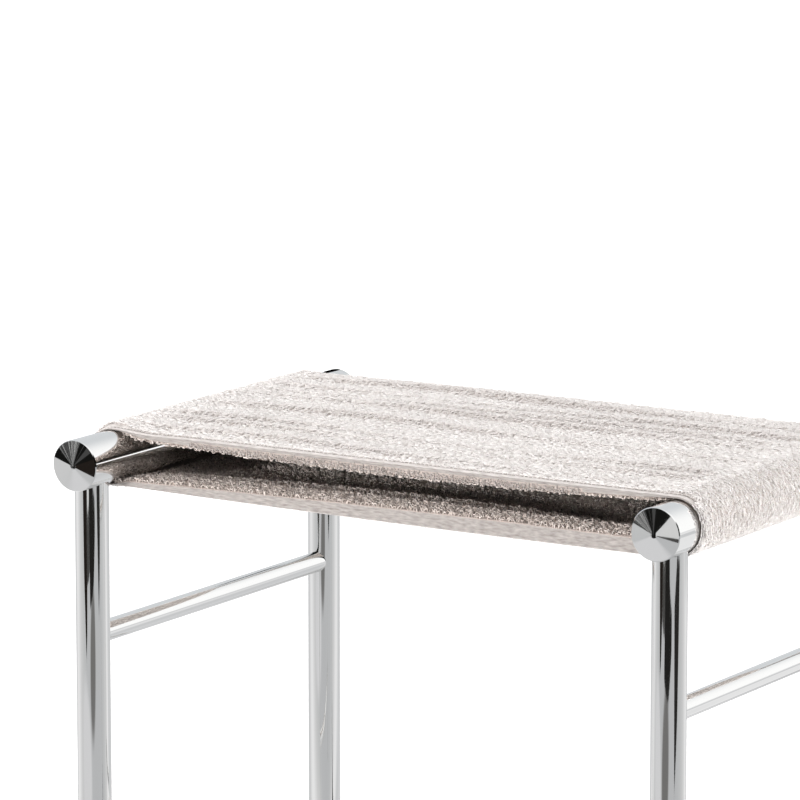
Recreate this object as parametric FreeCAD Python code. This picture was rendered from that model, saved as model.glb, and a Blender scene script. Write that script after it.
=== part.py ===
import FreeCAD, Part
import math
import os

# Bathroom stool: two round rails bolted on a welded base of four legs and four stretchers,
# with a closed loop of towelling stretched round the rails as the seat.
# The origin is on the floor under the middle of the seat. +X runs along the long side, -Y is the front.

# Overall sizes, in millimetres
frame_width = 518.0             # across the outer sides of the two rails
frame_depth = 365.0             # from tip to tip of the rail caps
seat_height = 450.0             # from the floor to the top of the towelling

# Rails: thick tubes that run from front to back and carry the seat
rail_od = 38.0
rail_wall = 2.0

# Rail caps: turned plugs with a shallow cone for a face
cap_cone_height = 2.5           # tip above the rim
cap_rim = 3.0                   # edge that continues the rail's outside
cap_chamfer = 0.6
cap_boss_gap = 1.5              # between the end of the spigot and the nearest boss
cap_spigot_wall = 4.0
cap_floor = 2.0                 # solid depth behind the rim

# Legs: tubes under the rails, their tops cut to the rail's curve
leg_od = 25.0
leg_wall = 2.0
leg_inset = 21.5                # from the rim of the rail cap to the leg's axis

# Stretchers: thin tubes welded between the legs
side_stretcher_od = 16.0
side_stretcher_height = 296.0
long_stretcher_od = 16.0
long_stretcher_height = 80.0
stretcher_wall = 1.5

# Rail joints: a screw goes up the leg, through a plug in its top, into a boss in the rail
plug_length = 14.0
boss_od = 16.0
boss_height = 17.0              # above the underside of the rail
screw_diameter = 8.0
screw_length = 30.0
screw_head_diameter = 13.0
screw_head_height = 8.0
screw_socket_width = 6.0        # across the flats of the key
screw_socket_depth = 4.0
washer_od = 16.0
washer_thickness = 1.6
screw_hole_clearance = 0.6      # on the diameter, in the plug and the washer
thread_clearance = 0.2          # on the diameter, in the boss
turned_chamfer = 0.8            # on the ends of the turned pieces

# Foot glides: ribbed plugs in the open lower ends of the legs
glide_height = 6.0
glide_round = 1.5
glide_spigot_length = 18.0
glide_barb_count = 4
glide_barb_depth = 1.0
glide_neck = 1.2                # plain stretch under each barb
glide_bore = 12.0
push_fit_clearance = 0.2        # on the diameter, for the caps, plugs and glides

# Towelling sling: an upper and a lower layer in one loop, with a folded hem at the front and the rear
towel_thickness = 5.5
towel_clearance = 0.3           # between the towelling and the rails
towel_end_gap = 0.5             # between the hems and the legs
lower_layer_sag = 2.3
hem_width = 8.0
hem_ease = 0.3                  # extra room between a hem and a rail
hem_thickness = 2.3             # where a hem bends round a rail
upper_hem_fall = 8.9            # the upper hem thickens downwards by this much at mid-span
lower_hem_rise = 8.1            # the lower hem thickens upwards by this much at mid-span
hem_round = 1.1

# Places that follow from those sizes
rail_radius = rail_od / 2
rail_bore_radius = rail_radius - rail_wall
rail_x = frame_width / 2 - rail_radius
rail_z = seat_height - towel_thickness - towel_clearance - rail_radius
rail_underside = rail_z - rail_radius
rim_y = frame_depth / 2 - cap_cone_height
rail_end_y = rim_y - cap_rim
leg_radius = leg_od / 2
leg_bore_radius = leg_radius - leg_wall
leg_y = rim_y - leg_inset
cap_spigot_length = rail_end_y - leg_y - boss_od / 2 - cap_boss_gap
plug_underside = rail_underside - plug_length
towel_inner_radius = rail_radius + towel_clearance
towel_half_depth = leg_y - leg_radius - towel_end_gap

UP = FreeCAD.Vector(0, 0, 1)
DEPTHWISE = FreeCAD.Vector(0, 1, 0)
LENGTHWISE = FreeCAD.Vector(1, 0, 0)

sides = {"left": -1, "right": 1}
ends = {"front": -1, "rear": 1}
corners = {}
for end_name, end in ends.items():
    for side_name, side in sides.items():
        corners[end_name + "_" + side_name] = (side, end)


def save(name, shape):
    """Write one node of the stool."""
    shape.exportStep("parts/" + name + ".step")


def rod(radius, start, direction, length):
    """A round bar from a start point along a direction."""
    return Part.makeCylinder(radius, length, start, direction)


def tube(outside, wall, start, direction, length):
    """A round tube from a start point along a direction."""
    outer = rod(outside / 2, start, direction, length)
    return outer.cut(rod(outside / 2 - wall, start, direction, length))


def turned(profile, base, direction):
    """A lathe-turned piece: (radius, height) points spun about an axis through base."""
    points = [FreeCAD.Vector(radius, 0, height) for radius, height in profile]
    outline = Part.Face(Part.makePolygon(points + points[:1]))
    shape = outline.revolve(FreeCAD.Vector(0, 0, 0), UP, 360)
    shape.Placement = FreeCAD.Placement(base, FreeCAD.Rotation(UP, direction))
    return shape


def rail_envelope(side):
    """The full round of one rail, used to shape what meets it."""
    start = FreeCAD.Vector(side * rail_x, -rail_end_y, rail_z)
    return rod(rail_radius, start, DEPTHWISE, 2 * rail_end_y)


def leg_envelope(side, end):
    """The full round of one leg, used to shape what meets it."""
    start = FreeCAD.Vector(side * rail_x, end * leg_y, 0)
    return rod(leg_radius, start, UP, rail_z)


def boss_envelope(side, end):
    """The full round of one boss, which also makes its hole in the rail."""
    start = FreeCAD.Vector(side * rail_x, end * leg_y, rail_underside)
    return rod(boss_od / 2, start, UP, boss_height)


def make_rail(side):
    """One rail with the holes that its two bosses are welded into."""
    start = FreeCAD.Vector(side * rail_x, -rail_end_y, rail_z)
    rail = tube(rail_od, rail_wall, start, DEPTHWISE, 2 * rail_end_y)
    for end in ends.values():
        rail = rail.cut(boss_envelope(side, end))
    return rail


def make_rail_cap(side, end):
    """A cap with a hollow spigot in the rail and a shallow cone outside it."""
    spigot_radius = rail_bore_radius - push_fit_clearance / 2
    cup_radius = spigot_radius - cap_spigot_wall
    profile = [
        (0, -cap_floor),
        (cup_radius, -cap_floor),
        (cup_radius, -cap_spigot_length),
        (spigot_radius - turned_chamfer, -cap_spigot_length),
        (spigot_radius, turned_chamfer - cap_spigot_length),
        (spigot_radius, 0),
        (rail_radius, 0),
        (rail_radius, cap_rim - cap_chamfer),
        (rail_radius - cap_chamfer, cap_rim),
        (0, cap_rim + cap_cone_height),
    ]
    base = FreeCAD.Vector(side * rail_x, end * rail_end_y, rail_z)
    return turned(profile, base, DEPTHWISE * end)


def make_leg(side, end):
    """One leg, from its glide to the underside of the rail."""
    start = FreeCAD.Vector(side * rail_x, end * leg_y, glide_height)
    leg = tube(leg_od, leg_wall, start, UP, rail_z - glide_height)
    return leg.cut(rail_envelope(side))


def make_side_stretcher(side):
    """A stretcher from front leg to rear leg, its ends cut to their curve."""
    start = FreeCAD.Vector(side * rail_x, -leg_y, side_stretcher_height)
    bar = tube(side_stretcher_od, stretcher_wall, start, DEPTHWISE, 2 * leg_y)
    return bar.cut([leg_envelope(side, -1), leg_envelope(side, 1)])


def make_long_stretcher(end):
    """A stretcher from left leg to right leg, its ends cut to their curve."""
    start = FreeCAD.Vector(-rail_x, end * leg_y, long_stretcher_height)
    bar = tube(long_stretcher_od, stretcher_wall, start, LENGTHWISE, 2 * rail_x)
    return bar.cut([leg_envelope(-1, end), leg_envelope(1, end)])


def make_boss(side, end):
    """A threaded boss, flush with the rail's outside and open at both ends."""
    boss = boss_envelope(side, end).common(rail_envelope(side))
    start = FreeCAD.Vector(side * rail_x, end * leg_y, rail_underside)
    return boss.cut(rod((screw_diameter + thread_clearance) / 2, start, UP, boss_height))


def make_plug(side, end):
    """A plug in the top of a leg, cut to the rail's curve, with a hole for the screw."""
    plug_radius = leg_bore_radius - push_fit_clearance / 2
    hole_radius = (screw_diameter + screw_hole_clearance) / 2
    top = rail_z - plug_underside
    profile = [
        (hole_radius, 0),
        (plug_radius - turned_chamfer, 0),
        (plug_radius, turned_chamfer),
        (plug_radius, top),
        (hole_radius, top),
    ]
    base = FreeCAD.Vector(side * rail_x, end * leg_y, plug_underside)
    return turned(profile, base, UP).cut(rail_envelope(side))


def make_screw(side, end):
    """A socket-head screw, its head up against the washer."""
    screw_radius = screw_diameter / 2
    head_radius = screw_head_diameter / 2
    profile = [
        (0, -screw_head_height),
        (head_radius - turned_chamfer, -screw_head_height),
        (head_radius, turned_chamfer - screw_head_height),
        (head_radius, 0),
        (screw_radius, 0),
        (screw_radius, screw_length - turned_chamfer),
        (screw_radius - turned_chamfer, screw_length),
        (0, screw_length),
    ]
    seat = FreeCAD.Vector(side * rail_x, end * leg_y, plug_underside - washer_thickness)
    screw = turned(profile, seat, UP)
    corner_radius = screw_socket_width / math.sqrt(3)
    corner_points = []
    for index in range(7):
        angle = index * math.pi / 3
        offset = FreeCAD.Vector(corner_radius * math.cos(angle), corner_radius * math.sin(angle), 0)
        corner_points.append(seat + offset - UP * screw_head_height)
    socket = Part.Face(Part.makePolygon(corner_points)).extrude(UP * screw_socket_depth)
    return screw.cut(socket)


def make_washer(side, end):
    """A plain washer between the plug and the screw's head."""
    base = FreeCAD.Vector(side * rail_x, end * leg_y, plug_underside - washer_thickness)
    wall = (washer_od - screw_diameter - screw_hole_clearance) / 2
    return tube(washer_od, wall, base, UP, washer_thickness)


def make_glide(side, end):
    """A foot glide: a rounded foot under the leg and a hollow, barbed spigot inside it."""
    barb_radius = leg_bore_radius - push_fit_clearance / 2
    core_radius = barb_radius - glide_barb_depth
    barb_pitch = glide_spigot_length / glide_barb_count
    profile = [(0, 0), (leg_radius, 0), (leg_radius, glide_height)]
    for index in range(glide_barb_count):
        neck_foot = glide_height + index * barb_pitch
        ledge = neck_foot + glide_neck
        profile += [(core_radius, neck_foot), (core_radius, ledge), (barb_radius, ledge)]
    top = glide_height + glide_spigot_length
    profile += [(core_radius, top), (glide_bore / 2, top), (glide_bore / 2, glide_height), (0, glide_height)]
    glide = turned(profile, FreeCAD.Vector(side * rail_x, end * leg_y, 0), UP)
    foot_edges = [edge for edge in glide.Edges if edge.BoundBox.ZMax < glide_round]
    return glide.makeFillet(glide_round, foot_edges)


def layer_curve(left, right, middle_z):
    """The line of one layer between its two tangent points, straight or sagging."""
    if abs(middle_z - left.z) < 0.001:
        return Part.LineSegment(left, right).toShape()
    return Part.Arc(left, FreeCAD.Vector(0, left.y, middle_z), right).toShape()


def loop_face(radius, upper_fall, lower_fall, y):
    """The area inside a loop that bends round both rails at a radius and leaves them at a tangent.

    upper_fall and lower_fall say how far mid-span lies below the straight line between the rails.
    """
    upper_lean = 2 * math.atan(upper_fall / rail_x)
    lower_lean = 2 * math.atan(lower_fall / rail_x)
    upper = FreeCAD.Vector(rail_x - radius * math.sin(upper_lean), y, rail_z + radius * math.cos(upper_lean))
    lower = FreeCAD.Vector(rail_x + radius * math.sin(lower_lean), y, rail_z - radius * math.cos(lower_lean))
    upper_left = FreeCAD.Vector(-upper.x, y, upper.z)
    lower_left = FreeCAD.Vector(-lower.x, y, lower.z)
    outer_right = FreeCAD.Vector(rail_x + radius, y, rail_z)
    outer_left = FreeCAD.Vector(-rail_x - radius, y, rail_z)
    edges = [
        layer_curve(upper_left, upper, rail_z + radius - upper_fall),
        Part.Arc(upper, outer_right, lower).toShape(),
        layer_curve(lower_left, lower, rail_z - radius - lower_fall),
        Part.Arc(lower_left, outer_left, upper_left).toShape(),
    ]
    return Part.Face(Part.Wire(Part.__sortEdges__(edges)))


def make_hem(end):
    """One folded edge of the sling, thin round the rails and thick at mid-span, with rounded corners."""
    edge_y = end * towel_half_depth
    inner_radius = towel_inner_radius + hem_ease
    outside = loop_face(inner_radius + hem_thickness, 0, lower_layer_sag, edge_y)
    inside = loop_face(inner_radius, upper_hem_fall, lower_layer_sag - lower_hem_rise, edge_y)
    hem = outside.cut(inside).extrude(DEPTHWISE * (-end * hem_width))
    end_edges = []
    for edge in hem.Edges:
        reach = max(abs(edge.BoundBox.YMin - edge_y), abs(edge.BoundBox.YMax - edge_y))
        if reach < hem_round:
            end_edges.append(edge)
    return hem.makeFillet(hem_round, end_edges)


def make_sling():
    """The seat: one closed loop of towelling with a hem at each edge."""
    field_y = towel_half_depth - hem_width
    outside = loop_face(towel_inner_radius + towel_thickness, 0, lower_layer_sag, -field_y)
    inside = loop_face(towel_inner_radius, 0, lower_layer_sag, -field_y)
    field = outside.cut(inside).extrude(DEPTHWISE * (2 * field_y))
    return field.fuse([make_hem(-1), make_hem(1)]).removeSplitter()


os.makedirs("parts", exist_ok=True)

for side_name, side in sides.items():
    save("rail_" + side_name, make_rail(side))
    save("side_stretcher_" + side_name, make_side_stretcher(side))

for end_name, end in ends.items():
    save("long_stretcher_" + end_name, make_long_stretcher(end))

for corner_name, (side, end) in corners.items():
    save("rail_cap_" + corner_name, make_rail_cap(side, end))
    save("leg_" + corner_name, make_leg(side, end))
    save("rail_boss_" + corner_name, make_boss(side, end))
    save("leg_plug_" + corner_name, make_plug(side, end))
    save("foot_glide_" + corner_name, make_glide(side, end))

save("rail_screws", Part.makeCompound([make_screw(side, end) for side, end in corners.values()]))
save("screw_washers", Part.makeCompound([make_washer(side, end) for side, end in corners.values()]))
save("towel_sling", make_sling())
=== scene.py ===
"""A bathroom stool: a frame of chromed steel tube with a seat sling of white towelling."""
import math

import bpy
import numpy as np
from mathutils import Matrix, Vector


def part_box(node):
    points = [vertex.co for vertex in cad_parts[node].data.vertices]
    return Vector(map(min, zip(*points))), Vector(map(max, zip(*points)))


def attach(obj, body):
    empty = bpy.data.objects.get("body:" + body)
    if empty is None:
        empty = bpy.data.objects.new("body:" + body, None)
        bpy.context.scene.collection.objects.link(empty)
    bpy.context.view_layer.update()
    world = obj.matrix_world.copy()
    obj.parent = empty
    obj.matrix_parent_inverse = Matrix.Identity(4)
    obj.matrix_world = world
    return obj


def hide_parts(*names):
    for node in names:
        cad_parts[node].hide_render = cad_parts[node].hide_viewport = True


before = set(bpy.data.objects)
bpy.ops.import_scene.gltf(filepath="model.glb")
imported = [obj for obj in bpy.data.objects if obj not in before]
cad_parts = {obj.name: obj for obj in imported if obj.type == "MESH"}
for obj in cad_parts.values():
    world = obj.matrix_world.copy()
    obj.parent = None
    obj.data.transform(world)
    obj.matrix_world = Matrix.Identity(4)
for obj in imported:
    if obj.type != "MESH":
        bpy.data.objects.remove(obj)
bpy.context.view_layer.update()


# Tube frame: two thick rails with turned end caps, four legs and four thin stretchers.
# All are drawn steel tube and turned steel bar, polished and then plated with bright chrome,
# the stretchers brazed between the legs before plating.
MM = 0.001
# Most values of a noise texture lie in this range.
NOISE_RANGE = {"From Min": 0.3, "From Max": 0.7}


def linear(hex_colour):
    """An sRGB hex colour as linear RGBA."""
    channels = [int(hex_colour[i:i + 2], 16) / 255 for i in (1, 3, 5)]
    curve = [c / 12.92 if c <= 0.04045 else ((c + 0.055) / 1.055) ** 2.4 for c in channels]
    return (*curve, 1.0)


def new_material(name):
    """An empty node material of that name."""
    material = bpy.data.materials.new(name)
    material.use_nodes = True
    material.node_tree.nodes.clear()
    return material


def add_node(tree, kind, inputs, **settings):
    """A shader node with its settings; each input is a value or another node's output."""
    node = tree.nodes.new("ShaderNode" + kind)
    for name, value in settings.items():
        setattr(node, name, value)
    for socket, value in inputs.items():
        if isinstance(value, bpy.types.NodeSocket):
            tree.links.new(value, node.inputs[socket])
        else:
            node.inputs[socket].default_value = value
    return node


def chrome_plate():
    """Chrome plate on polished steel: a near mirror, neutral in tone, with faint wiping marks."""
    wiping_marks = 40 * MM
    polish_ripple = 0.004 * MM
    clean, wiped = 0.025, 0.06
    material = new_material("chrome_plated_steel")
    tree = material.node_tree
    place = add_node(tree, "TexCoord", {}).outputs["Object"]
    marks = add_node(tree, "TexNoise", {"Vector": place, "Scale": 1 / wiping_marks, "Detail": 4.0})
    roughness = add_node(tree, "MapRange", {
        "Value": marks.outputs[0], **NOISE_RANGE, "To Min": clean, "To Max": wiped})
    ripple = add_node(tree, "Bump", {
        "Height": marks.outputs[0], "Strength": 1.0, "Distance": polish_ripple})
    shader = add_node(tree, "BsdfPrincipled", {
        "Base Color": linear("#EDEDEC"), "Metallic": 1.0,
        "Roughness": roughness.outputs["Result"], "Normal": ripple.outputs["Normal"]})
    add_node(tree, "OutputMaterial", {"Surface": shader.outputs[0]})
    return material


def finish_nodes(material, *prefixes):
    """Gives every CAD node whose name starts with one of the prefixes that material."""
    for name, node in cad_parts.items():
        if name.startswith(prefixes):
            node.data.materials.clear()
            node.data.materials.append(material)


finish_nodes(chrome_plate(), "rail_left", "rail_right", "rail_cap_", "leg_front", "leg_rear",
             "side_stretcher_", "long_stretcher_")


# Hidden fixings: a threaded boss in each rail and a plug in the top of each leg, turned from
# plain steel bar, and the zinc plated socket screw and washer that pull the two together.
def turned_steel():
    """Bare turned steel: grey, half bright, with rings from the tool, drawn coarser than real to show."""
    tool_feed = 0.6 * MM
    ring_depth = 0.02 * MM
    material = new_material("bare_turned_steel")
    tree = material.node_tree
    place = add_node(tree, "TexCoord", {}).outputs["Object"]
    height = add_node(tree, "SeparateXYZ", {"Vector": place}).outputs["Z"]
    turn = add_node(tree, "Math", {0: height, 1: 2 * math.pi / tool_feed}, operation="MULTIPLY")
    rings = add_node(tree, "Math", {0: turn.outputs[0]}, operation="SINE")
    relief = add_node(tree, "Bump", {"Height": rings.outputs[0], "Strength": 0.3, "Distance": ring_depth})
    shader = add_node(tree, "BsdfPrincipled", {
        "Base Color": linear("#A9A8A6"), "Metallic": 1.0, "Roughness": 0.32,
        "Normal": relief.outputs["Normal"]})
    add_node(tree, "OutputMaterial", {"Surface": shader.outputs[0]})
    return material


def zinc_plate():
    """Zinc plate: silvery with a faint blue cast and soft crystal clouds."""
    crystal = 2.5 * MM
    material = new_material("zinc_plated_steel")
    tree = material.node_tree
    place = add_node(tree, "TexCoord", {}).outputs["Object"]
    clouds = add_node(tree, "TexNoise", {"Vector": place, "Scale": 1 / crystal, "Detail": 3.0})
    colour = add_node(tree, "Mix", {
        "Factor": clouds.outputs[0], "A": linear("#B4B8BE"), "B": linear("#CBCED2")}, data_type="RGBA")
    shader = add_node(tree, "BsdfPrincipled", {
        "Base Color": colour.outputs["Result"], "Metallic": 1.0, "Roughness": 0.3})
    add_node(tree, "OutputMaterial", {"Surface": shader.outputs[0]})
    return material


finish_nodes(turned_steel(), "rail_boss_", "leg_plug_")
finish_nodes(zinc_plate(), "rail_screws", "screw_washers")


# Foot glides: four moulded polyethylene plugs pressed into the open ends of the legs.
# A grey, slightly waxy plastic with a fine spark-eroded grain.
def glide_plastic():
    """Moulded polyethylene: matt light grey with an even grain, drawn coarser than real to show."""
    grain = 0.8 * MM
    grain_depth = 0.05 * MM
    smooth, grained = 0.45, 0.62
    material = new_material("moulded_polyethylene")
    tree = material.node_tree
    place = add_node(tree, "TexCoord", {}).outputs["Object"]
    grit = add_node(tree, "TexNoise", {"Vector": place, "Scale": 1 / grain, "Detail": 2.0})
    relief = add_node(tree, "Bump", {"Height": grit.outputs[0], "Strength": 0.4, "Distance": grain_depth})
    roughness = add_node(tree, "MapRange", {"Value": grit.outputs[0], "To Min": smooth, "To Max": grained})
    shader = add_node(tree, "BsdfPrincipled", {
        "Base Color": linear("#8E8F8D"), "Roughness": roughness.outputs["Result"],
        "Normal": relief.outputs["Normal"]})
    add_node(tree, "OutputMaterial", {"Surface": shader.outputs[0]})
    return material


finish_nodes(glide_plastic(), "foot_glide_")


# Towelling sling, ground and hems: one long piece of white cotton terry sewn into a loop round both
# rails. The woven ground carries loops of pile on both faces, and each long edge is folded over and
# sewn down as a rolled hem, deepest at mid-span where the two layers hang free.
rail_low, rail_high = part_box("rail_right")
sling_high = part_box("towel_sling")[1]
RAIL_X = (rail_low.x + rail_high.x) / 2
RAIL_Z = (rail_low.z + rail_high.z) / 2
RAIL_RADIUS = rail_high.x - RAIL_X
HALF_DEPTH = sling_high.y
SPAN = 2 * RAIL_X
PILE_HEIGHT = 2.0 * MM
GROUND_THICKNESS = 1.5 * MM
GROUND_RADIUS = sling_high.x - RAIL_X - PILE_HEIGHT - GROUND_THICKNESS / 2
BEND = math.pi * GROUND_RADIUS
LOOP_LENGTH = 2 * SPAN + 2 * BEND
HEM_WIDTH = 6.2 * MM
HEM_THICKNESS = 2.3 * MM
HEM_TURN_IN = 28 * MM
GROOVE_FROM_EDGE = 5.6 * MM
# Outside of a hem in millimetres: distance in from the edge, and height over the hem's outer side.
HEM_ROLL = ((8.0, 0.75), (6.2, 0.4), (5.6, -1.5), (4.9, -0.5), (3.6, 0.05), (2.2, 0.0), (1.0, -0.45),
            (0.35, -1.0))
# Points down a hem's end face, as shares of its height.
HEM_FACE = np.linspace(0.06, 0.97, 9)
# Ridges of the upper layer: each one's depth in millimetres from the seat's middle, and its size.
RIDGE_LINES = ((-123, 1.0), (-90, 1.0), (-71, 1.1), (-16, 1.2), (33, 1.2), (51, 1.0), (75, 1.1),
               (109, 1.5))
RIDGE_HEIGHT = 2.5 * MM
LOWER_SAG = 2.3 * MM


def smooth_step(value):
    """0 below 0, 1 above 1 and an even ease between."""
    share = np.clip(value, 0, 1)
    return share * share * (3 - 2 * share)


def bump_at(value, middle, width):
    """A rounded bump of height 1 about a middle."""
    return np.exp(-((value - middle) / width) ** 2)


def loop_line(s):
    """The loop's ground line at lengths s along it, seen from the front: x, z and the outward normal.

    The line starts at the left rail, runs over the top layer, round the right rail and back below.
    """
    s = np.mod(s, LOOP_LENGTH)
    right = np.clip((s - SPAN) / GROUND_RADIUS, 0, math.pi)
    left = np.clip((s - 2 * SPAN - BEND) / GROUND_RADIUS, 0, math.pi)
    turn = right + left
    along = np.clip(s, 0, SPAN) - np.clip(s - SPAN - BEND, 0, SPAN)
    normal_x = np.sin(turn)
    normal_z = np.cos(turn)
    x = along - RAIL_X + GROUND_RADIUS * normal_x
    z = RAIL_Z + GROUND_RADIUS * normal_z
    return x, z, normal_x, normal_z


def place_x(s):
    """Where the ground line is from left to right at lengths s."""
    return loop_line(s)[0]


def facing_up(s):
    """How far the cloth faces up at lengths s: 1 on top, 0 at a rail's side, -1 below."""
    return loop_line(s)[3]


def free_span(s):
    """How free the cloth is of the rails at lengths s: upper layer and lower layer, 0 to 1."""
    reach = 26 * MM
    s = np.mod(s, LOOP_LENGTH)
    upper = smooth_step(np.minimum(s, SPAN - s) / reach)
    lower_s = s - SPAN - BEND
    lower = smooth_step(np.minimum(lower_s, SPAN - lower_s) / reach)
    return upper, lower


def pulled_tight(s):
    """How much closer to a rail the ground lies: more and more from the rail's top to its underside."""
    at_underside = 2.2 * MM
    return -at_underside * smooth_step((1 - facing_up(s)) / 2)


def lower_edge(s):
    """How far the lower hem's underside stands out from the ground line: it rises towards the left rail."""
    at_middle, slope, arch = 0.1 * MM, 0.0067, -0.0259
    x = place_x(s)
    return at_middle + slope * x + arch * x ** 2


def wander(x):
    """How far the ridges and folds stray from straight lines: a long sway and a shorter one."""
    long_sway = 4 * MM * np.sin(x / (90 * MM))
    short_sway = 2 * MM * np.sin(x / (37 * MM) + 1.3)
    return long_sway + short_sway


def ridges(x, y):
    """Soft lengthwise ridges of the upper layer: their height, and where their short steep fronts are."""
    front_width = 9 * MM
    back_width = 20 * MM
    front_reach = 6 * MM
    swell = 75 * MM
    steady, swing = 0.65, 0.35
    height = 0
    front = 0
    for line, size in RIDGE_LINES:
        behind = y + wander(x) - line * MM
        strength = size * (steady + swing * np.sin(x / swell + line))
        rise = smooth_step(behind / front_width + 0.5)
        height = height + strength * rise * np.exp(-np.maximum(behind, 0) / back_width)
        front = front + strength * bump_at(behind, 0, front_reach)
    return height, np.minimum(front, 1)


def well_inside(y):
    """How far depths y are from the hems: 0 at the edge, 1 from 70 mm in."""
    return smooth_step((HALF_DEPTH - np.abs(y)) / (70 * MM))


def slack(s, y):
    """How far the ground stands out from its line: low ridges on top, sag and long folds below."""
    mean_ridge = 0.6
    inside_hem = 1.0 * MM
    upper, lower = free_span(s)
    x = place_x(s)
    depth = np.abs(y) + 0.5 * wander(x)
    hang = 1 - (x / RAIL_X) ** 2
    inward_fold = -10 * hang * bump_at(depth, 92 * MM, 12 * MM)
    outward_fold = 1.2 * bump_at(depth, 25 * MM, 16 * MM)
    folds = (inward_fold + outward_fold) * MM
    sag = LOWER_SAG * hang
    inside = well_inside(y)
    below = (lower_edge(s) - inside_hem) * (1 - inside) + sag * inside + folds
    waves = RIDGE_HEIGHT * (ridges(x, y)[0] - mean_ridge)
    return upper * waves + lower * below + (1 - lower) * pulled_tight(s)


def hem_sides(s):
    """How far a hem's outer and inner side stand out from the ground line at lengths s.

    The upper hem falls deepest at mid-span, the lower one stands up as a band, and both lie flat and
    tight round the rails.
    """
    fall_at_middle, fall_reach = 5.8 * MM, 245 * MM
    band_at_middle, band_slope, band_arch = 8.6 * MM, 0.016, -0.060
    at_outside, left_dip, tightness = -0.15 * MM, 1.2 * MM, 0.85
    on_rail = RAIL_RADIUS + 0.15 * MM - GROUND_RADIUS
    upper, lower = free_span(s)
    x = place_x(s)
    fall = fall_at_middle * (1 - (x / fall_reach) ** 2)
    band_height = band_at_middle + band_slope * x + band_arch * x ** 2
    at_left = smooth_step((-x / RAIL_X - 0.6) / 0.4)
    outside = at_outside - left_dip * at_left + tightness * pulled_tight(s)
    outer = (1 - lower) * outside + lower * lower_edge(s)
    at_rail = np.maximum(outer - HEM_THICKNESS, on_rail)
    inner = (1 - lower) * at_rail + lower * (outer - HEM_THICKNESS - band_height) - upper * fall
    return outer, inner


def cloth_point(s, y, out):
    """Points of the cloth at lengths s round the loop and depths y, standing out from the ground line.

    The front edge lies a little askew on the frame: further forward at the right rail, and drawn back
    where it goes over the left one.
    """
    forward, askew, pull = 1.4 * MM, 3.1 * MM, 11 * MM
    pull_start, pull_ease = 195 * MM, 45 * MM
    x, z, normal_x, normal_z = loop_line(s)
    front = np.clip(-y / HALF_DEPTH, 0, 1)
    skew = front * (forward + askew * x / RAIL_X)
    over_left_rail = smooth_step((-x - pull_start) / pull_ease) * smooth_step((normal_z + 0.3) / 0.8)
    drawn_back = pull * front ** 2 * over_left_rail
    return np.stack([x + normal_x * out, y - skew + drawn_back, z + normal_z * out], axis=-1)


def deep_hem(s):
    """Where the upper hem hangs deep enough to show loops on its folded edge."""
    least_depth = 5.5 * MM
    outer, inner = hem_sides(s)
    return (free_span(s)[0] > 0.5) & (inner < outer - least_depth)


def flare(s):
    """How far the sling's edge stands off the rails, as a thin dark ring shows."""
    stand_off = 0.3 * MM
    upper, lower = free_span(s)
    return stand_off * (1 - upper - lower)


def covered(s):
    """How far the pile covers the hem round a rail, 0 to 1: bare on top and covered further round."""
    bare_down_to, ease = 0.92, 0.3
    return smooth_step((bare_down_to - facing_up(s)) / ease)


def inner_face(s, y):
    """How far the ground's inner face stands out: double near the edges, where the hem is turned in."""
    lift_reach = 6 * MM
    turn_in_end = 5 * MM
    from_edge = HALF_DEPTH - np.abs(y)
    lifted = smooth_step(1 - from_edge / lift_reach)
    inner = hem_sides(s)[1] + flare(s) * lifted
    single = smooth_step((from_edge - HEM_TURN_IN) / turn_in_end)
    return inner * (1 - single) + (slack(s, y) - GROUND_THICKNESS / 2) * single


def hem_section(s):
    """The outside of a hem at lengths s: the stitched groove, the roll and the end face.

    Gives the distance in from the edge and the distance out from the ground line, point by point.
    """
    filled_height = 0.85
    edge_round = 0.6 * MM
    edge_lift = 0.4 * MM
    face_from_edge = 0.12 * MM
    outer, inner = hem_sides(s)
    upper, lower = free_span(s)
    round_rail = (1 - upper - lower) * covered(s)
    squeeze = np.minimum((outer - inner) / HEM_THICKNESS, 1)
    edge_gap = np.maximum(edge_lift * squeeze, flare(s))
    depths = []
    heights = []
    for depth, height in HEM_ROLL:
        filled = height + round_rail * min(depth / 2, 1) * (filled_height - height)
        depths.append(depth * MM)
        heights.append(outer + np.where(filled < 0, filled * squeeze, filled) * MM)
    for share in HEM_FACE:
        depths.append(face_from_edge)
        heights.append((outer - edge_round * squeeze) * (1 - share) + (inner + edge_gap) * share)
    return np.array(depths), np.stack(heights, axis=1)


def terry_ground(name, dark, light):
    """Cotton ground cloth between the loops: off-white and matt, drawn darker than the pile as painted
    shade between the loops.

    Its threads are drawn about twice as coarse as real ones, so that they show.
    """
    thread = 1.2 * MM
    thread_depth = 0.4 * MM
    material = new_material(name)
    tree = material.node_tree
    place = add_node(tree, "TexCoord", {}).outputs["Object"]
    threads = add_node(tree, "TexNoise", {"Vector": place, "Scale": 1 / thread, "Detail": 2.0})
    colour = add_node(tree, "Mix", {
        "Factor": threads.outputs[0], "A": linear(dark), "B": linear(light)}, data_type="RGBA")
    relief = add_node(tree, "Bump", {
        "Height": threads.outputs[0], "Strength": 0.8, "Distance": thread_depth})
    shader = add_node(tree, "BsdfPrincipled", {
        "Base Color": colour.outputs["Result"], "Roughness": 0.92, "Normal": relief.outputs["Normal"]})
    add_node(tree, "OutputMaterial", {"Surface": shader.outputs[0]})
    return material


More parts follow.
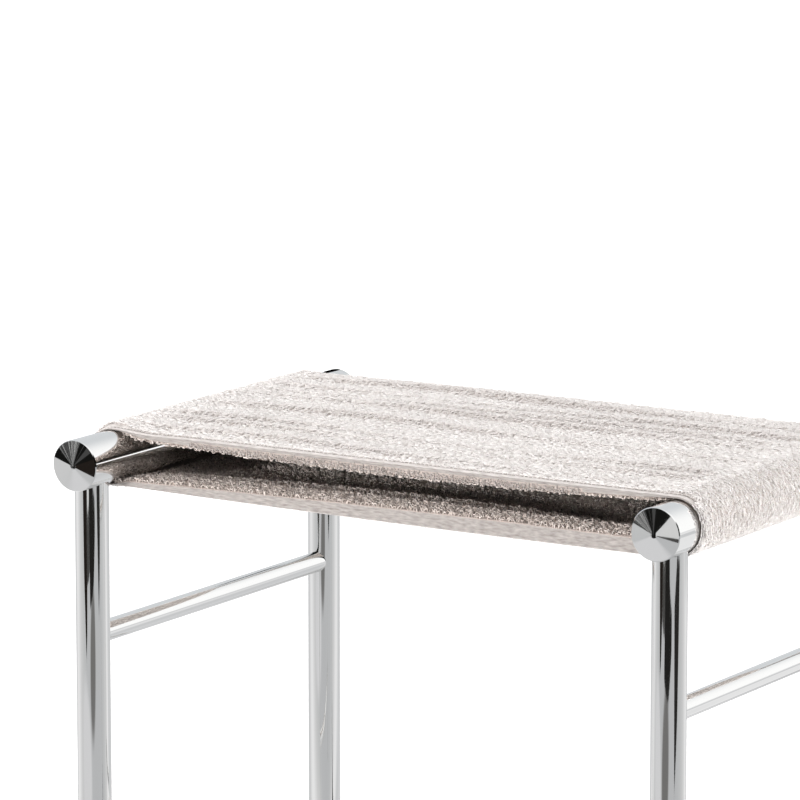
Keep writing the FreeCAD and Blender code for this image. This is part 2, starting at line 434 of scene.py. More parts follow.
def hem_weave(name, section_length, dark, light):
    """Flat woven selvedge of the hems: soft uneven lengthwise threads in greyish white.

    They are drawn about twice as coarse as real ones, so that they show.
    """
    thread = 1.1 * MM
    thread_depth = 0.4 * MM
    streak = 7 * MM
    material = new_material(name)
    tree = material.node_tree
    cloth = add_node(tree, "UVMap", {}, uv_map="OFBake").outputs["UV"]
    drawn_out = add_node(tree, "Mapping", {
        "Vector": cloth, "Scale": (LOOP_LENGTH / streak, section_length / thread, 1)})
    threads = add_node(tree, "TexNoise", {"Vector": drawn_out.outputs[0], "Scale": 1.0, "Detail": 4.0})
    relief = add_node(tree, "Bump", {
        "Height": threads.outputs[0], "Strength": 0.6, "Distance": thread_depth})
    share = add_node(tree, "MapRange", {"Value": threads.outputs[0], **NOISE_RANGE})
    colour = add_node(tree, "Mix", {
        "Factor": share.outputs["Result"], "A": linear(dark), "B": linear(light)}, data_type="RGBA")
    shader = add_node(tree, "BsdfPrincipled", {
        "Base Color": colour.outputs["Result"], "Roughness": 0.85, "Normal": relief.outputs["Normal"]})
    add_node(tree, "OutputMaterial", {"Surface": shader.outputs[0]})
    return material


def mesh_object(name, points, corners, sizes):
    """A mesh piece from its points, its faces' corners one after another and each face's corner count."""
    mesh = bpy.data.meshes.new(name)
    mesh.vertices.add(len(points))
    mesh.vertices.foreach_set("co", np.ascontiguousarray(points, dtype=np.float32).ravel())
    mesh.loops.add(len(corners))
    mesh.loops.foreach_set("vertex_index", np.ascontiguousarray(corners, dtype=np.int32))
    starts = np.concatenate([[0], np.cumsum(sizes)[:-1]]).astype(np.int32)
    mesh.polygons.add(len(sizes))
    mesh.polygons.foreach_set("loop_start", starts)
    mesh.update(calc_edges=True)
    mesh.shade_smooth()
    piece = bpy.data.objects.new(name, mesh)
    bpy.context.scene.collection.objects.link(piece)
    return piece


def add_cloth_map(piece, u, v):
    """The piece's own map, from each corner's place along and across the flat cloth."""
    layer = piece.data.uv_layers.new(name="OFBake")
    layer.data.foreach_set("uv", np.stack([u, v], axis=-1).astype(np.float32).ravel())


def sling_ground():
    """The sling without its pile: a thin closed skin, its section swept once round the loop."""
    steps_round, steps_deep, steps_inside = 352, 92, 112
    field_edge = HALF_DEPTH - 9.6 * MM
    inside_edge = HALF_DEPTH - 0.8 * MM
    s = np.arange(steps_round) * LOOP_LENGTH / steps_round
    hem_depth, hem_out = hem_section(s)
    field = np.linspace(-field_edge, field_edge, steps_deep)
    field_out = slack(s[:, None], field[None, :]) + GROUND_THICKNESS / 2
    inside = np.linspace(inside_edge, -inside_edge, steps_inside)
    inside_out = inner_face(s[:, None], inside[None, :])
    depth = np.concatenate([field, HALF_DEPTH - hem_depth, inside, hem_depth[::-1] - HALF_DEPTH])
    out = np.concatenate([field_out, hem_out, inside_out, hem_out[:, ::-1]], axis=1)
    points = cloth_point(s[:, None], depth[None, :], out)
    count = len(depth)
    i, j = np.meshgrid(np.arange(steps_round), np.arange(count), indexing="ij")
    here = i * count
    beyond = (i + 1) % steps_round * count
    j_next = (j + 1) % count
    quads = np.stack([here + j, beyond + j, beyond + j_next, here + j_next], axis=-1)
    piece = mesh_object("sling_ground", points.reshape(-1, 3), quads.ravel(), np.full(quads.size // 4, 4))

    # The map runs round the loop and, by the lengths of one section of the upper layer, across it.
    sample = points[steps_round // 5]
    walk = np.linalg.norm(np.roll(sample, -1, axis=0) - sample, axis=1)
    section_length = walk.sum()
    across = np.concatenate([[0], np.cumsum(walk)]) / section_length
    u = np.stack([i, i + 1, i + 1, i], axis=-1) / steps_round
    v = np.stack([across[j], across[j], across[j + 1], across[j + 1]], axis=-1)
    add_cloth_map(piece, u.ravel(), v.ravel())

    # The ground is darker than the yarn: painted shade in the gaps between loops.
    piece.data.materials.append(terry_ground("cotton_terry_ground", "#CFC5BF", "#E5DCD7"))
    piece.data.materials.append(hem_weave("cotton_hem_weave", section_length, "#BDB6B2", "#EAE4E1"))
    # Inside the loop the ground is a darker, browner copy: painted shade.
    piece.data.materials.append(terry_ground("cotton_terry_ground_inside_painted_shade", "#B6A8A1", "#CEC2BB"))
    # The hems' end faces take a darker copy of the weave: painted shade.
    piece.data.materials.append(hem_weave("cotton_hem_face_painted_shade", section_length, "#8F8884", "#BDB6B2"))
    outer_face, weave, inner_side, face_weave_painted_shade = 0, 1, 2, 3
    hem = np.full((steps_round, len(hem_depth)), weave)
    hem[:, len(HEM_ROLL):] = face_weave_painted_shade
    # Where the upper hem hangs deep, the lower half of its end face takes the darker inside ground instead:
    # painted shade behind the hem loops.
    looped = len(HEM_ROLL) + len(HEM_FACE) // 2
    hem[deep_hem(s), looped:] = inner_side
    strips = np.concatenate([np.full((steps_round, steps_deep), outer_face), hem,
                             np.full((steps_round, steps_inside), inner_side), hem[:, ::-1]], axis=1)
    piece.data.polygons.foreach_set("material_index", strips.astype(np.int32).ravel())
    return piece


sling = sling_ground()


# Pile and stitching: loops of soft cotton yarn stand in rows on both faces of the terry, ragged on the
# upper hem's folded edge and close together at the edge round the rails. A row of lock stitches in sewing
# thread holds each hem down.
draw = np.random.default_rng(11)
PILE_EDGE = HALF_DEPTH - HEM_WIDTH
EDGE_AT_RAIL = HALF_DEPTH - 1.2 * MM
# Kinds of loops in millimetres: pitch along and across the cloth, width, height and the yarn's radius,
# and how far they lean and stray.
COMBED_LOOPS = {"pitch": (3.3, 1.9), "width": (3.6, 5.4), "height": (1.1, 1.9), "radius": 0.47,
                "lean": 0.35, "mess": 0.42}
UNDER_LOOPS = {"pitch": (2.8, 2.6), "width": (2.0, 3.0), "height": (1.5, 2.9), "radius": 0.5,
               "lean": 0.9, "mess": 0.8}
INNER_LOOPS = {"pitch": (3.2, 3.0), "width": (2.4, 3.6), "height": (1.6, 2.7), "radius": 0.52,
               "lean": 0.2, "mess": 1.7}
# Thickness of single yarns against the mean.
YARN_SPREAD = (0.85, 1.2)


def unit(vectors):
    """Rows of vectors brought to length 1."""
    return vectors / np.linalg.norm(vectors, axis=1)[:, None]


def cloth_directions(s):
    """The directions out of the loop and along the cloth at lengths s."""
    normal_x, normal_z = loop_line(s)[2:]
    zero = np.zeros(len(s))
    out_of_loop = np.stack([normal_x, zero, normal_z], axis=1)
    along_cloth = np.stack([normal_z, zero, -normal_x], axis=1)
    return out_of_loop, along_cloth


def yarn_arches(name, base, along, up, width, height, radius, u, v, shade=0):
    """Many small arches of yarn in one piece, each a three-sided tube bent over in three steps.

    base, along and up hold each arch's foot line and directions, u and v its place on the flat cloth
    and shade how much darker it is drawn, as painted shade.
    """
    crown, sunk = 1.25, 0.1
    count = len(base)
    bends = np.radians((0, 60, 120, 180))
    sides = np.radians((0, 120, 240))
    aside = np.cross(along, up)
    rings = []
    for bend in bends:
        middle = base - along * (0.5 * width * math.cos(bend))[:, None]
        middle = middle + up * (height * (crown * math.sin(bend) - sunk))[:, None]
        outward = up * math.sin(bend) - along * math.cos(bend)
        ring = [middle + (outward * math.cos(a) + aside * math.sin(a)) * radius[:, None] for a in sides]
        rings.append(np.stack(ring, axis=1))
    points = np.stack(rings, axis=1).reshape(-1, 3)
    around = len(sides)
    arch_points = len(bends) * around
    pattern = []
    for first in range(0, arch_points - around, around):
        beyond = first + around
        for j in range(around):
            j_next = (j + 1) % around
            pattern += [first + j, first + j_next, beyond + j_next, beyond + j]
    face_sizes = [4] * (len(pattern) // 4) + [around, around]
    pattern += list(range(around))[::-1] + list(range(arch_points - around, arch_points))
    pattern = np.array(pattern)
    corners = (np.arange(count)[:, None] * arch_points + pattern[None, :]).ravel()
    piece = mesh_object(name, points, corners, np.tile(face_sizes, count))
    shift = np.repeat(-0.5 * np.cos(bends), around)[pattern]
    u = (u[:, None] + shift[None, :] * width[:, None]).ravel()
    v = (v[:, None] + np.tile(np.sin(sides), len(bends))[pattern][None, :] * radius[:, None]).ravel()
    add_cloth_map(piece, (u - u.min()) / np.ptp(u), (v - v.min()) / np.ptp(v))
    # Each loop's tone differs at random, less its painted shade.
    tone = piece.data.attributes.new("loop_tone_and_shade", "FLOAT", "POINT")
    tone.data.foreach_set("value", np.repeat(draw.random(count) - shade, arch_points).astype(np.float32))
    return piece


def fullness(s, y):
    """How full the pile stands: tallest on the ridges' fronts, flat under the rails and near the hems."""
    on_ridge, flattened, spared = 0.7, 0.6, 0.45
    upper, lower = free_span(s)
    on_top = 1.0 + on_ridge * ridges(place_x(s), y)[1]
    pressed = smooth_step((-facing_up(s) - 0.2) / 0.7)
    return (upper * on_top + 1 - upper) * (1 - pressed * (flattened - spared * lower * well_inside(y)))


def room_at_rail(s):
    """How much room the inner face of a free layer has above the round of the nearest rail."""
    along_layer = np.mod(s, SPAN + BEND)
    from_rail = np.clip(np.minimum(along_layer, SPAN - along_layer), 0, RAIL_RADIUS)
    return RAIL_RADIUS - np.sqrt(RAIL_RADIUS ** 2 - from_rail ** 2)


def pile(name, s_range, y_range, side, loops):
    """A stretch of pile on the outer (side 1) or inner (side -1) face: rows that lean along the cloth."""
    stray_along, stray_across = 0.22, 0.25
    turn_mess, lean_mess = 0.28, 0.3
    # Loops on the ridges' steep fronts are drawn darker: painted shade.
    slant_on_top, slant_on_ridge, shade_on_ridge = 0.12, 0.7, 0.7
    share_of_room = 0.5
    s_pitch, y_pitch = [pitch * MM for pitch in loops["pitch"]]
    rows = np.arange(y_range[0], y_range[1], y_pitch)
    places = np.arange(s_range[0], s_range[1], s_pitch)
    y, s = np.meshgrid(rows, places, indexing="ij")
    s = s + draw.uniform(0, s_pitch, (len(rows), 1)) + draw.normal(0, stray_along * s_pitch, s.shape)
    y = np.clip(y + draw.normal(0, stray_across * y_pitch, y.shape), *y_range)
    s, y = s.ravel(), y.ravel()
    if side > 0:
        bare_hem = (np.abs(y) > PILE_EDGE) & (covered(s) < 0.5)
        s, y = s[~bare_hem], y[~bare_hem]
    count = len(s)
    normal, warp = cloth_directions(s)
    weft = np.tile([0.0, 1.0, 0.0], (count, 1))
    face = slack(s, y) + GROUND_THICKNESS / 2 if side > 0 else inner_face(s, y)
    base = cloth_point(s, y, face)
    mess = loops["mess"]
    on_top = free_span(s)[0] if side > 0 else np.zeros(count)
    ridge_front = ridges(place_x(s), y)[1] * on_top
    slant = slant_on_top * on_top + slant_on_ridge * ridge_front
    turn = draw.normal(0, turn_mess * mess, count) + slant
    along = warp * np.cos(turn)[:, None] + weft * np.sin(turn)[:, None]
    across = np.cross(normal, along)
    lean = loops["lean"] + draw.normal(0, lean_mess * mess, count)
    tilt = draw.normal(0, lean_mess * mess, count)
    up = unit(side * normal + along * lean[:, None] + across * tilt[:, None])
    width = draw.uniform(*loops["width"], count) * MM
    height = draw.uniform(*loops["height"], count) * MM
    if side > 0:
        height = height * fullness(s, y)
    else:
        height = np.minimum(height, share_of_room * room_at_rail(s))
    radius = loops["radius"] * draw.uniform(*YARN_SPREAD, count) * MM
    return yarn_arches(name, base, along, up, width, height, radius, s, y, shade_on_ridge * ridge_front)


def terry_yarn(name, dark, light):
    """Soft twisted cotton: warm white, matt with a faint fuzz, each loop a slightly different white, and
    darker where painted shade is given.
    """
    patch = 35 * MM
    patch_share = 0.25
    fuzz = 0.12
    material = new_material(name)
    tree = material.node_tree
    place = add_node(tree, "TexCoord", {}).outputs["Object"]
    tone = add_node(tree, "Attribute", {}, attribute_name="loop_tone_and_shade").outputs["Fac"]
    patches = add_node(tree, "TexNoise", {"Vector": place, "Scale": 1 / patch, "Detail": 3.0})
    share = add_node(tree, "Mix", {
        "Factor": patch_share, "A": tone, "B": patches.outputs[0]}, data_type="FLOAT")
    colour = add_node(tree, "Mix", {
        "Factor": share.outputs["Result"], "A": linear(dark), "B": linear(light)}, data_type="RGBA")
    shader = add_node(tree, "BsdfPrincipled", {
        "Base Color": colour.outputs["Result"], "Roughness": 0.9,
        "Sheen Weight": fuzz, "Sheen Roughness": 0.5})
    add_node(tree, "OutputMaterial", {"Surface": shader.outputs[0]})
    return material


LOWER_START = SPAN + BEND
OVER_RAIL = 14 * MM
INNER_START = 10 * MM
LEFT_DRAWN_BACK = 8 * MM
top = (OVER_RAIL, SPAN - OVER_RAIL)
under = (LOWER_START, LOWER_START + SPAN)
third = PILE_EDGE / 3
outer_pile = []
for part_name, depth_range in (("front", (-PILE_EDGE, -third)), ("middle", (-third, third)),
                               ("rear", (third, PILE_EDGE))):
    outer_pile.append(pile("pile_top_" + part_name, top, depth_range, 1, COMBED_LOOPS))
    outer_pile.append(pile("pile_under_" + part_name, under, depth_range, 1, UNDER_LOOPS))
rail_bends = {"right": (SPAN - OVER_RAIL, SPAN + BEND, EDGE_AT_RAIL),
              "left": (LOOP_LENGTH - BEND, LOOP_LENGTH + OVER_RAIL, EDGE_AT_RAIL - LEFT_DRAWN_BACK)}
for part_name, (start, end, edge) in rail_bends.items():
    outer_pile.append(pile(f"pile_{part_name}_bend", (start, end), (-edge, edge), 1, COMBED_LOOPS))
inner_pile = []
for layer_name, start in (("upper", 0), ("lower", LOWER_START)):
    reach = (start + INNER_START, start + SPAN - INNER_START)
    for half_name, low, high in (("front", -EDGE_AT_RAIL, 0), ("rear", 0, EDGE_AT_RAIL)):
        name = f"pile_inside_{layer_name}_{half_name}"
        inner_pile.append(pile(name, reach, (low, high), -1, INNER_LOOPS))

yarn = terry_yarn("cotton_terry_yarn", "#E4DEDB", "#FFFCFA")
for piece in outer_pile:
    piece.data.materials.append(yarn)
# Inside the loop the yarn is a darker, browner copy: painted shade.
inner_yarn_painted_shade = terry_yarn("cotton_terry_yarn_inside_painted_shade", "#CBBDB4", "#F6EBE4")
for piece in inner_pile:
    piece.data.materials.append(inner_yarn_painted_shade)


def hem_loops(name, end):
    """Ragged loops on the folded edge of the upper hem, pointing out of the mouth and down."""
    pitch, stray = 2.3 * MM, 0.8 * MM
    row_stray, highest, lowest = 0.06, 0.45, 1.03
    from_edge, from_outside = 0.3 * MM, 1.0 * MM
    up_mess, turn_mess = 0.3, 0.8
    widths, heights, yarn_radius = (1.5, 2.7), (0.8, 1.7), 0.36 * MM
    rows = np.linspace(0.5, 1.0, 5)
    places = np.arange(0, SPAN, pitch)
    share, s = np.meshgrid(rows, places, indexing="ij")
    s = (s + draw.normal(0, stray, s.shape)).ravel()
    share = np.clip(share.ravel() + draw.normal(0, row_stray, s.shape), highest, lowest)
    keep = deep_hem(s)
    s, share = s[keep], share[keep]
    outer, inner = hem_sides(s)
    count = len(s)
    out = (outer - from_outside) * (1 - share) + inner * share
    y = np.full(count, end * (HALF_DEPTH - from_edge))
    base = cloth_point(s, y, out)
    zero = np.zeros(count)
    down = np.stack([zero, zero, -smooth_step((share - 0.6) / 0.4)], axis=1)
    out_of_mouth = np.tile([0.0, 1.0 * end, 0.0], (count, 1))
    up = unit(out_of_mouth + down + draw.normal(0, up_mess, (count, 3)))
    along = np.tile([1.0, 0.0, 0.0], (count, 1)) + draw.normal(0, turn_mess, (count, 3))
    along = unit(along - up * np.sum(along * up, axis=1)[:, None])
    width = draw.uniform(*widths, count) * MM
    height = draw.uniform(*heights, count) * MM
    radius = yarn_radius * draw.uniform(*YARN_SPREAD, count)
    return yarn_arches(name, base, along, up, width, height, radius, s, share * 10 * MM)


def rail_edge_loops(name, end):
    """Loops that cover the sling's edge and end face where it bends round the two rails, in three rows."""
    lead, pitch, stray = 12 * MM, 1.7 * MM, 0.5 * MM
    tilts, tilt_mess = np.array([0.7, 0.3, 1.3]), 0.25
    from_edge = np.array([0.8, 1.8, 0.2]) * MM
    over_hem = np.array([0.0, 0.5, 0.0]) * MM
    down_the_face = np.array([0.0, 0.0, 0.4])
    widths, heights, yarn_radius = (1.8, 2.8), (0.8, 1.3), 0.5 * MM
    right_bend = np.arange(SPAN - lead, SPAN + BEND + lead, pitch)
    left_bend = right_bend + SPAN + BEND
    s = np.tile(np.concatenate([right_bend, left_bend]), 3)
    row = np.repeat([0, 1, 2], len(right_bend) * 2)
    s = s + draw.normal(0, stray, len(s))
    with_pile = covered(s) > 0.5
    s, row = s[with_pile], row[with_pile]
    count = len(s)
    out_of_loop, along = cloth_directions(s)
    out_of_mouth = np.tile([0.0, 1.0 * end, 0.0], (count, 1))
    tilt = tilts[row] + draw.normal(0, tilt_mess, count)
    up = out_of_loop * np.cos(tilt)[:, None] + out_of_mouth * np.sin(tilt)[:, None]
    y = end * (HALF_DEPTH - from_edge[row])
    outer, inner = hem_sides(s)
    base = cloth_point(s, y, outer + over_hem[row] + down_the_face[row] * (inner - outer))
    width = draw.uniform(*widths, count) * MM
    height = draw.uniform(*heights, count) * fullness(s, y) * MM
    radius = yarn_radius * draw.uniform(*YARN_SPREAD, count)
    return yarn_arches(name, base, along, up, width, height, radius, s, row * 3 * MM)


def hem_stitches(name, end):
    """The row of lock stitches that holds a hem down, lying in its groove."""
    pitch, stitch, height, radius = 3.4 * MM, 2.5 * MM, 0.35 * MM, 0.3 * MM
    below_hem = 0.45 * MM
    s = np.arange(0, LOOP_LENGTH, pitch)
    count = len(s)
    up, along = cloth_directions(s)
    y = np.full(count, end * (HALF_DEPTH - GROOVE_FROM_EDGE))
    base = cloth_point(s, y, hem_sides(s)[0] - below_hem)
    return yarn_arches(name, base, along, up, np.full(count, stitch), np.full(count, height),
                       np.full(count, radius), s, y)


# The hem loops' yarn is a greyer, darker copy: painted shade under the hem's folded edge.
hem_yarn_painted_shade = terry_yarn("cotton_terry_yarn_hem_painted_shade", "#AFA6A1", "#D5CCC7")
# The stitches' thread is drawn grey: painted shadow of the groove it lies in.
groove_shadow_thread = terry_yarn("cotton_thread_painted_groove_shadow", "#9A918B", "#AFA6A0")
edge_kinds = (("hem_loops", hem_loops, hem_yarn_painted_shade), ("rail_edge_loops", rail_edge_loops, yarn),
              ("hem_stitches", hem_stitches, groove_shadow_thread))
edge_pieces = []
for kind, make_edge, material in edge_kinds:
    for end_name, end in (("front", -1), ("rear", 1)):
        piece = make_edge(f"{kind}_{end_name}", end)
        piece.data.materials.append(material)
        edge_pieces.append(piece)

for piece in [sling] + outer_pile + inner_pile + edge_pieces:
    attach(piece, "root")
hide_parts("towel_sling")


# Studio: a wide white paper floor with soft light from above, the front and both sides, and what the
# chrome mirrors of the room: the paper's near edge, dark ground cloths, white panels, a flag and stands.
PAPER_WHITE = "#F3F2F1"


def only_mirrored(stage_object):
    """A part of the room that shows in the chrome and nowhere else."""
    stage_object.visible_camera = False
    stage_object.visible_diffuse = False
    stage_object.visible_shadow = False
    stage_object.visible_transmission = False


def card(name, corners, colour):
    """A flat card of the room with its corners in metres, seen only as a reflection."""
    mesh = bpy.data.meshes.new(name)
    mesh.from_pydata(corners, [], [tuple(range(len(corners)))])
    piece = bpy.data.objects.new(name, mesh)
    bpy.context.scene.collection.objects.link(piece)
    material = new_material(name)
    tree = material.node_tree
    glow = add_node(tree, "Emission", {"Color": linear(colour)})
    add_node(tree, "OutputMaterial", {"Surface": glow.outputs[0]})
    mesh.materials.append(material)
    only_mirrored(piece)
    return piece


def floor_paper():
    """White paper that keeps the stool's shadow and is white to the camera."""
    near, far = 0.6, 4.5
    near_glow, far_glow = 0.35, 0.95
    material = new_material("white_paper")
    tree = material.node_tree
    seen = add_node(tree, "LightPath", {}).outputs["Is Camera Ray"]
    place = add_node(tree, "TexCoord", {}).outputs["Object"]
    distance = add_node(tree, "VectorMath", {0: place}, operation="LENGTH").outputs["Value"]
    level = add_node(tree, "MapRange", {
        "Value": distance, "From Min": near, "From Max": far, "To Min": near_glow, "To Max": far_glow},
        interpolation_type="SMOOTHSTEP")
    strength = add_node(tree, "Math", {0: seen, 1: level.outputs["Result"]}, operation="MULTIPLY")
    paper = add_node(tree, "BsdfDiffuse", {"Color": linear(PAPER_WHITE)})
    glow = add_node(tree, "Emission", {"Color": (1, 1, 1, 1), "Strength": strength.outputs[0]})
    both = add_node(tree, "AddShader", {0: paper.outputs[0], 1: glow.outputs[0]})
    add_node(tree, "OutputMaterial", {"Surface": both.outputs[0]})
    return material


bpy.ops.object.select_all(action="DESELECT")
bpy.ops.mesh.primitive_plane_add(size=30)
floor = bpy.context.object
floor.name = "studio_floor"
floor.data.materials.append(floor_paper())
floor.visible_glossy = False

# Direction across the room towards the camera.
TOWARDS = Vector((0.52, -0.85, 0)).normalized()


def mirrored_floor():
    """The floor as the chrome sees it, up to the paper's near edge: grey in front as painted shade, and
    white to both sides.
    """
    paper_edge, rear_edge, height = 3.55, 8, 0.001
    outline = []
    for degrees in range(180, 361, 10):
        turn = math.radians(degrees)
        outline.append((paper_edge * math.cos(turn), paper_edge * math.sin(turn), height))
    for x, y in ((rear_edge, 0), (rear_edge, rear_edge), (-rear_edge, rear_edge), (-rear_edge, 0)):
        outline.append((x, y, height))
    piece = card("mirrored_floor", outline, "#FFFFFF")
    tree = piece.data.materials[0].node_tree
    place = add_node(tree, "TexCoord", {}).outputs["Object"]
    turned = add_node(tree, "Mapping", {
        "Vector": place, "Rotation": (0, 0, math.atan2(-TOWARDS.y, TOWARDS.x))}, vector_type="POINT")
    bearing = add_node(tree, "TexGradient", {"Vector": turned.outputs[0]}, gradient_type="RADIAL")
    offset = add_node(tree, "Math", {0: bearing.outputs["Fac"], 1: 0.5}, operation="SUBTRACT")
    either_side = add_node(tree, "Math", {0: offset.outputs[0]}, operation="ABSOLUTE")
    half_turns = add_node(tree, "Math", {0: either_side.outputs[0], 1: 2.0}, operation="MULTIPLY")

    # Greys by the degrees off the direction to the camera, as painted shade of the paper.
    stops = ((0, "#C1C2C4"), (50, "#C3C4C6"), (68, "#CBCCCD"), (86, "#D8D8D9"), (108, "#F4F4F5"),
             (121, "#F2F2F3"), (137, "#D3D4D6"), (180, "#DEDFE1"))
    grades = add_node(tree, "ValToRGB", {"Fac": half_turns.outputs[0]})
    ramp = grades.color_ramp
    for degrees, grey in stops[1:-1]:
        ramp.elements.new(degrees / 180)
    for element, (degrees, grey) in zip(ramp.elements, stops):
        element.position = degrees / 180
        element.color = linear(grey)
    colour = grades.outputs[0]

    # Soft lighter and darker places, painted light and shade, the darkest a painted shadow on the floor
    # towards the camera: middle and reach in metres.
    soft_places = (
        ((-0.45, -0.95), (0.5, 0.35), "#DCDCDE"),
        ((0.44, -1.20), (0.44, 0.34), "#787776"),
        ((1.50, 2.00), (0.90, 0.80), "#D6D7D9"),
    )
    for centre, reach, grey in soft_places:
        local = add_node(tree, "Mapping", {
            "Vector": place, "Location": (*centre, 0), "Scale": (*reach, 1)}, vector_type="TEXTURE")
        radius = add_node(tree, "VectorMath", {0: local.outputs[0]}, operation="LENGTH").outputs["Value"]
        cover = add_node(tree, "MapRange", {
            "Value": radius, "From Min": 0.7, "From Max": 1.1, "To Min": 1.0, "To Max": 0.0},
            interpolation_type="SMOOTHSTEP")
        mixed = add_node(tree, "Mix", {
            "Factor": cover.outputs["Result"], "A": colour, "B": linear(grey)}, data_type="RGBA")
        colour = mixed.outputs["Result"]
    tree.links.new(colour, tree.nodes["Emission"].inputs["Color"])


mirrored_floor()

# Dark ground cloths in front of the paper, two standing white panels and a small black flag behind.
CLOTH_HEIGHT = 0.002
ground_cloths = {
    "left_ground_cloth": ("#241F1C", (
        (-0.50, -1.36), (-0.70, -1.52), (-0.92, -1.66), (-1.30, -2.15), (-1.90, -3.20),
        (-2.20, -4.20), (-0.35, -4.20), (-0.27, -1.75), (-0.36, -1.50))),
    "middle_ground_cloth": ("#4A4948", (
        (-0.38, -2.30), (0.30, -2.30), (0.30, -1.74), (-0.38, -1.74))),
    "right_ground_cloth": ("#232221", (
        (0.20, -1.56), (0.50, -1.47), (0.85, -1.32), (1.30, -1.25), (1.42, -1.38),
        (1.15, -1.75), (1.25, -2.30), (0.35, -2.30))),
    "far_right_ground_cloth": ("#2A2928", (
        (1.14, -0.50), (1.50, -0.25), (2.20, 0.00), (2.20, -0.60), (1.75, -1.00), (1.50, -0.78))),
}
for name, (colour, outline) in ground_cloths.items():
    card(name, [(x, y, CLOTH_HEIGHT) for x, y in outline], colour)


def upright_card(name, start, end, low, high, colour):
    """A card that stands upright on the line from start to end, between two heights."""
    corners = ((start, low), (end, low), (end, high), (start, high))
    card(name, [(foot[0], foot[1], height) for foot, height in corners], colour)


upright_card("white_panel", (-0.174, -1.5), (0.118, -1.5), 0.125, 0.8, "#DCDCDC")
upright_card("small_white_panel", (-0.752, -1.49), (-0.728, -1.49), 0.21, 0.25, "#C8CDCD")
flag_middle = Vector((-0.3095, 0.286, 0))
flag_side = 0.012 * Vector((0.875, 0.485, 0))
upright_card("black_flag", flag_middle - flag_side, flag_middle + flag_side, 0.42, 0.49, "#060606")

# Stands and struts at the dark front of the room, which the turned caps spread into a fan of fine lines.
struts = np.random.default_rng(5)


def strut(name, bearing, half_width, grey):
    """An upright strip in front of the stool, at a bearing in degrees from straight ahead."""
    distance, low, high = 4.5, -1.0, 1.1
    turn = math.radians(bearing)
    foot = distance * Vector((math.sin(turn), -math.cos(turn), 0))
    side = half_width * Vector((math.cos(turn), math.sin(turn), 0))
    upright_card(name, foot - side, foot + side, low, high, f"#{grey:02X}{grey:02X}{grey:02X}")


for number, bearing in enumerate(np.linspace(-46, -31.5, 30)):
    strut(f"strut_{number}", bearing + struts.normal(0, 0.2), struts.uniform(0.006, 0.022),
          int(struts.uniform(60, 215)))
strut("broad_strut", -25.2, 0.1, 74)
strut("thin_strut", -28.6, 0.008, 90)


def soft_lamp(name, place, size, power):
    """A large soft lamp at a place, turned to the seat; the chrome shows the cards and not the lamp."""
    seat = Vector((0, 0, 0.42))
    data = bpy.data.lights.new(name, "AREA")
    data.shape = "RECTANGLE"
    data.size = size[0]
    data.size_y = size[1]
    data.energy = power
    lamp = bpy.data.objects.new(name, data)
    lamp.location = place
    lamp.rotation_euler = (seat - Vector(place)).to_track_quat("-Z", "Y").to_euler()
    lamp.visible_glossy = False
    lamp.visible_camera = False
    bpy.context.scene.collection.objects.link(lamp)


soft_lamp("overhead_softbox", (-0.2, 0.3, 2.7), (2.6, 2.6), 33)
soft_lamp("front_softbox", (0.2, -2.1, 1.5), (2.0, 0.6), 18)
soft_lamp("right_softbox", (2.5, 0.2, 0.45), (1.4, 1.0), 43)
soft_lamp("left_softbox", (-2.5, 0.0, 1.3), (1.4, 1.6), 28)
soft_lamp("low_front_fill", (-0.9, -2.9, 0.74), (0.4, 0.3), 46)


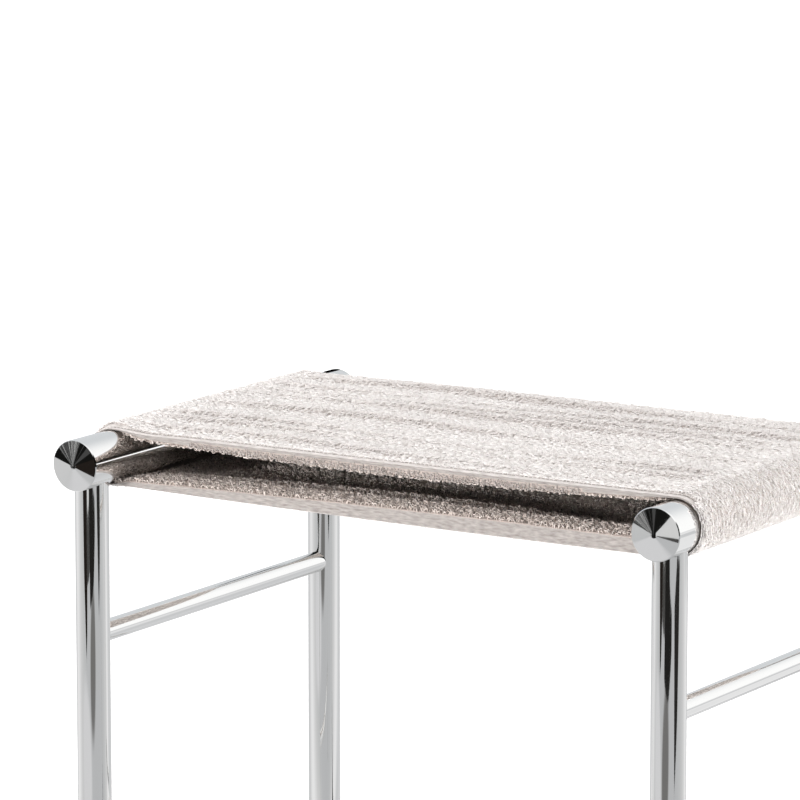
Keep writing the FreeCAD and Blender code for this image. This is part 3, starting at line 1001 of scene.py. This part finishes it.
def studio_world():
    """White to the camera, a fill from behind for matt surfaces, and for the chrome a bright room.

    The room's front is dark up to head height, and its walls are lighter to the right.
    """
    left_wall, right_wall, dark = "#CFD2D5", "#FFFFFF", "#141413"
    room_strength, fill_all_round, fill_behind = 1.15, 0.24, 0.7
    world = bpy.data.worlds.new("studio")
    world.use_nodes = True
    tree = world.node_tree
    tree.nodes.clear()
    ray = add_node(tree, "LightPath", {}).outputs
    direction = add_node(tree, "TexCoord", {}).outputs["Generated"]
    across_room = add_node(tree, "VectorMath", {0: direction, 1: TOWARDS}, operation="DOT_PRODUCT")
    facing = across_room.outputs["Value"]
    parts = add_node(tree, "SeparateXYZ", {"Vector": direction}).outputs
    front = add_node(tree, "MapRange", {
        "Value": facing, "From Min": -0.2, "From Max": 0.08}, interpolation_type="SMOOTHSTEP")
    low = add_node(tree, "MapRange", {
        "Value": parts["Z"], "From Min": 0.42, "From Max": 0.62, "To Min": 1.0, "To Max": 0.0},
        interpolation_type="SMOOTHSTEP")
    dark_front = add_node(tree, "Math", {
        0: front.outputs["Result"], 1: low.outputs["Result"]}, operation="MULTIPLY")
    right = add_node(tree, "MapRange", {
        "Value": parts["X"], "From Min": -0.3, "From Max": 0.5}, interpolation_type="SMOOTHSTEP")
    walls = add_node(tree, "Mix", {
        "Factor": right.outputs["Result"], "A": linear(left_wall), "B": linear(right_wall)},
        data_type="RGBA")
    room = add_node(tree, "Mix", {
        "Factor": dark_front.outputs[0], "A": walls.outputs["Result"], "B": linear(dark)},
        data_type="RGBA")
    mirrored = add_node(tree, "Background", {"Color": room.outputs["Result"], "Strength": room_strength})
    behind = add_node(tree, "MapRange", {
        "Value": facing, "From Min": -0.35, "From Max": 0.15, "To Min": fill_behind, "To Max": 0.0},
        interpolation_type="SMOOTHSTEP")
    beside = add_node(tree, "MapRange", {
        "Value": parts["Z"], "From Min": 0.45, "From Max": 0.75, "To Min": 1.0, "To Max": 0.0},
        interpolation_type="SMOOTHSTEP")
    level = add_node(tree, "Math", {
        0: behind.outputs["Result"], 1: beside.outputs["Result"], 2: fill_all_round},
        operation="MULTIPLY_ADD")
    fill = add_node(tree, "Background", {"Color": linear("#FFFFFF"), "Strength": level.outputs[0]})
    white = add_node(tree, "Background", {"Color": linear("#FFFFFF"), "Strength": 1.0})
    lit = add_node(tree, "MixShader", {
        0: ray["Is Glossy Ray"], 1: fill.outputs[0], 2: mirrored.outputs[0]})
    seen = add_node(tree, "MixShader", {
        0: ray["Is Camera Ray"], 1: lit.outputs[0], 2: white.outputs[0]})
    add_node(tree, "OutputWorld", {"Surface": seen.outputs[0]})
    return world


bpy.context.scene.world = studio_world()
bpy.context.scene.view_settings.view_transform = "Standard"


# Camera: the photograph's view, from the front, 31 degrees to the right and 10 degrees up, with a
# long lens about 4 m away.
VIEW_TURN = math.radians(31.452)
VIEW_RISE = math.radians(10.039)
VIEW_DISTANCE = 3.928744
VIEW_AIM = Vector((-0.073259, 0.0, 0.462064))
VIEW_LENS = 239.965
back = Vector((math.sin(VIEW_TURN) * math.cos(VIEW_RISE), -math.cos(VIEW_TURN) * math.cos(VIEW_RISE),
               math.sin(VIEW_RISE)))
camera_data = bpy.data.cameras.new("camera")
camera_data.sensor_width = 36
camera_data.lens = VIEW_LENS
camera_data.clip_end = 100
camera = bpy.data.objects.new("camera", camera_data)
camera.location = VIEW_AIM + back * VIEW_DISTANCE
camera.rotation_euler = back.to_track_quat("Z", "Y").to_euler()
bpy.context.scene.collection.objects.link(camera)
bpy.context.scene.camera = camera
